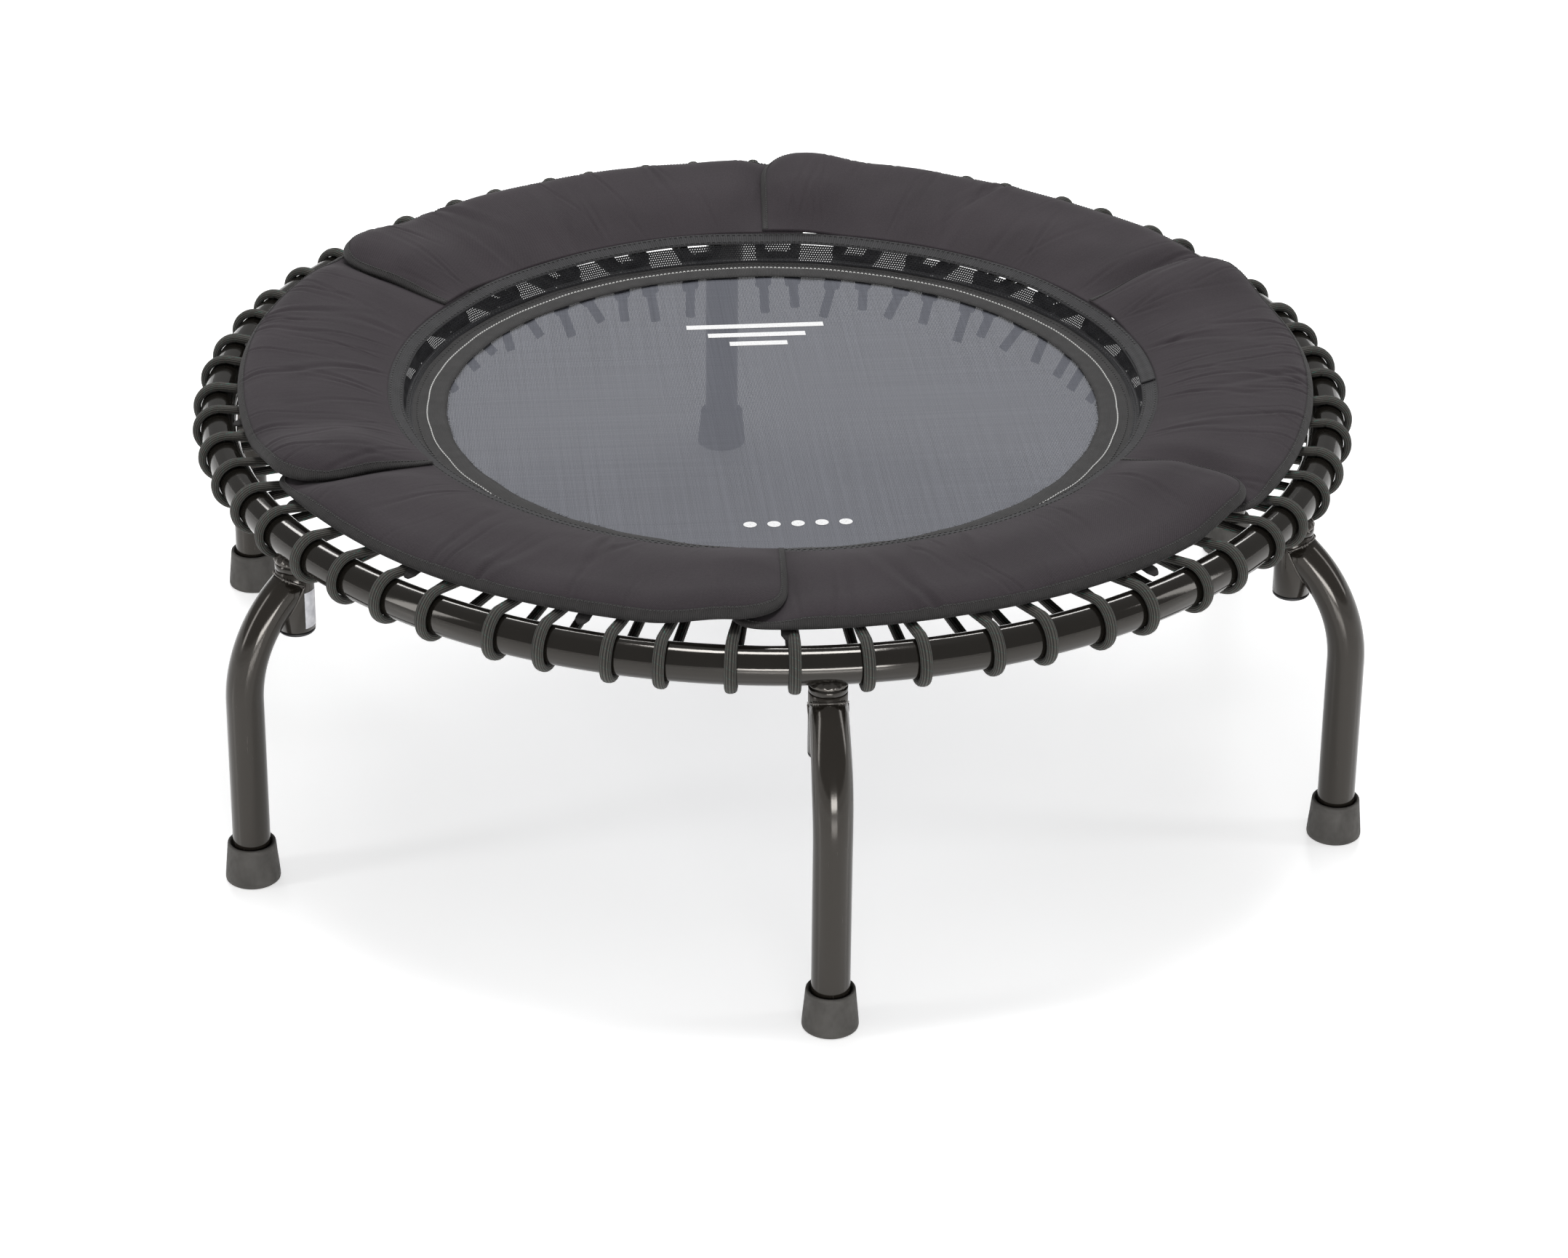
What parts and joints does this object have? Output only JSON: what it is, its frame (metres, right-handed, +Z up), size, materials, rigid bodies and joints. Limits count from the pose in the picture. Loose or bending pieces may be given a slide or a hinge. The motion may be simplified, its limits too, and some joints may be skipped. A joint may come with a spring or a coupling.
{
  "type": "mini trampoline",
  "caption": "Round fitness trampoline: tubular ring on arched legs with rubber feet, mesh mat on elastic cords, padded petal cover",
  "frame": {"origin": "on the floor, under the centre of the mat", "axes": "+Z up; -Y towards the front leg, one of six legs at every 60 degrees; +X to the right seen from the front"},
  "size_m": [1.0056, 1.1144, 0.341],
  "materials": {
    "gloss_black_steel": "gloss powder coat",
    "satin_black_steel": "satin powder coat",
    "foot_rubber": "matte",
    "cap_plastic": "satin moulded cap",
    "mesh_fabric": "woven mesh",
    "webbing": "ribbed woven webbing",
    "cord_braid": "braided sheath over an elastic core",
    "pad_twill": "matte twill"
  },
  "bodies": {
    "frame": {"frame_ring": "gloss_black_steel", "leg_1": "satin_black_steel", "leg_2": "satin_black_steel", "leg_3": "satin_black_steel", "leg_4": "satin_black_steel", "leg_5": "satin_black_steel", "leg_6": "satin_black_steel", "rubber_foot_1": "foot_rubber", "rubber_foot_2": "foot_rubber", "rubber_foot_3": "foot_rubber", "rubber_foot_4": "foot_rubber", "rubber_foot_5": "foot_rubber", "rubber_foot_6": "foot_rubber", "leg_bolt_1": "cap_plastic", "leg_bolt_2": "cap_plastic", "leg_bolt_3": "cap_plastic", "leg_bolt_4": "cap_plastic", "leg_bolt_5": "cap_plastic", "leg_bolt_6": "cap_plastic", "cord_01": "cord_braid", "cord_02": "cord_braid", "cord_03": "cord_braid", "cord_04": "cord_braid", "cord_05": "cord_braid", "cord_06": "cord_braid", "cord_07": "cord_braid", "cord_08": "cord_braid", "cord_09": "cord_braid", "cord_10": "cord_braid", "cord_11": "cord_braid", "cord_12": "cord_braid", "cord_13": "cord_braid", "cord_14": "cord_braid", "cord_15": "cord_braid", "cord_16": "cord_braid", "cord_17": "cord_braid", "cord_18": "cord_braid", "cord_19": "cord_braid", "cord_20": "cord_braid", "cord_21": "cord_braid", "cord_22": "cord_braid", "cord_23": "cord_braid", "cord_24": "cord_braid", "cord_25": "cord_braid", "cord_26": "cord_braid", "cord_27": "cord_braid", "cord_28": "cord_braid", "cord_29": "cord_braid", "cord_30": "cord_braid", "pad_petal_1": "pad_twill", "pad_petal_2": "pad_twill", "pad_petal_3": "pad_twill", "pad_petal_4": "pad_twill", "pad_petal_5": "pad_twill", "pad_petal_6": "pad_twill"},
    "jumping_mat": {"mat": "mesh_fabric", "mat_webbing": "webbing", "mesh_skirt": "mesh_fabric", "pad_band": "webbing"}
  },
  "joints": [
    {"name": "mat_bounce", "type": "slide", "parent": "frame", "child": "jumping_mat", "axis": [0, 0, 1], "range_m": [-0.08, 0], "stiffness_N_per_m": 7000, "springref_m": 0.001, "deforming": ["cord_01", "cord_02", "cord_03", "cord_04", "cord_05", "cord_06", "cord_07", "cord_08", "cord_09", "cord_10", "cord_11", "cord_12", "cord_13", "cord_14", "cord_15", "cord_16", "cord_17", "cord_18", "cord_19", "cord_20", "cord_21", "cord_22", "cord_23", "cord_24", "cord_25", "cord_26", "cord_27", "cord_28", "cord_29", "cord_30", "pad_petal_1", "pad_petal_2", "pad_petal_3", "pad_petal_4", "pad_petal_5", "pad_petal_6"]}
  ]
}
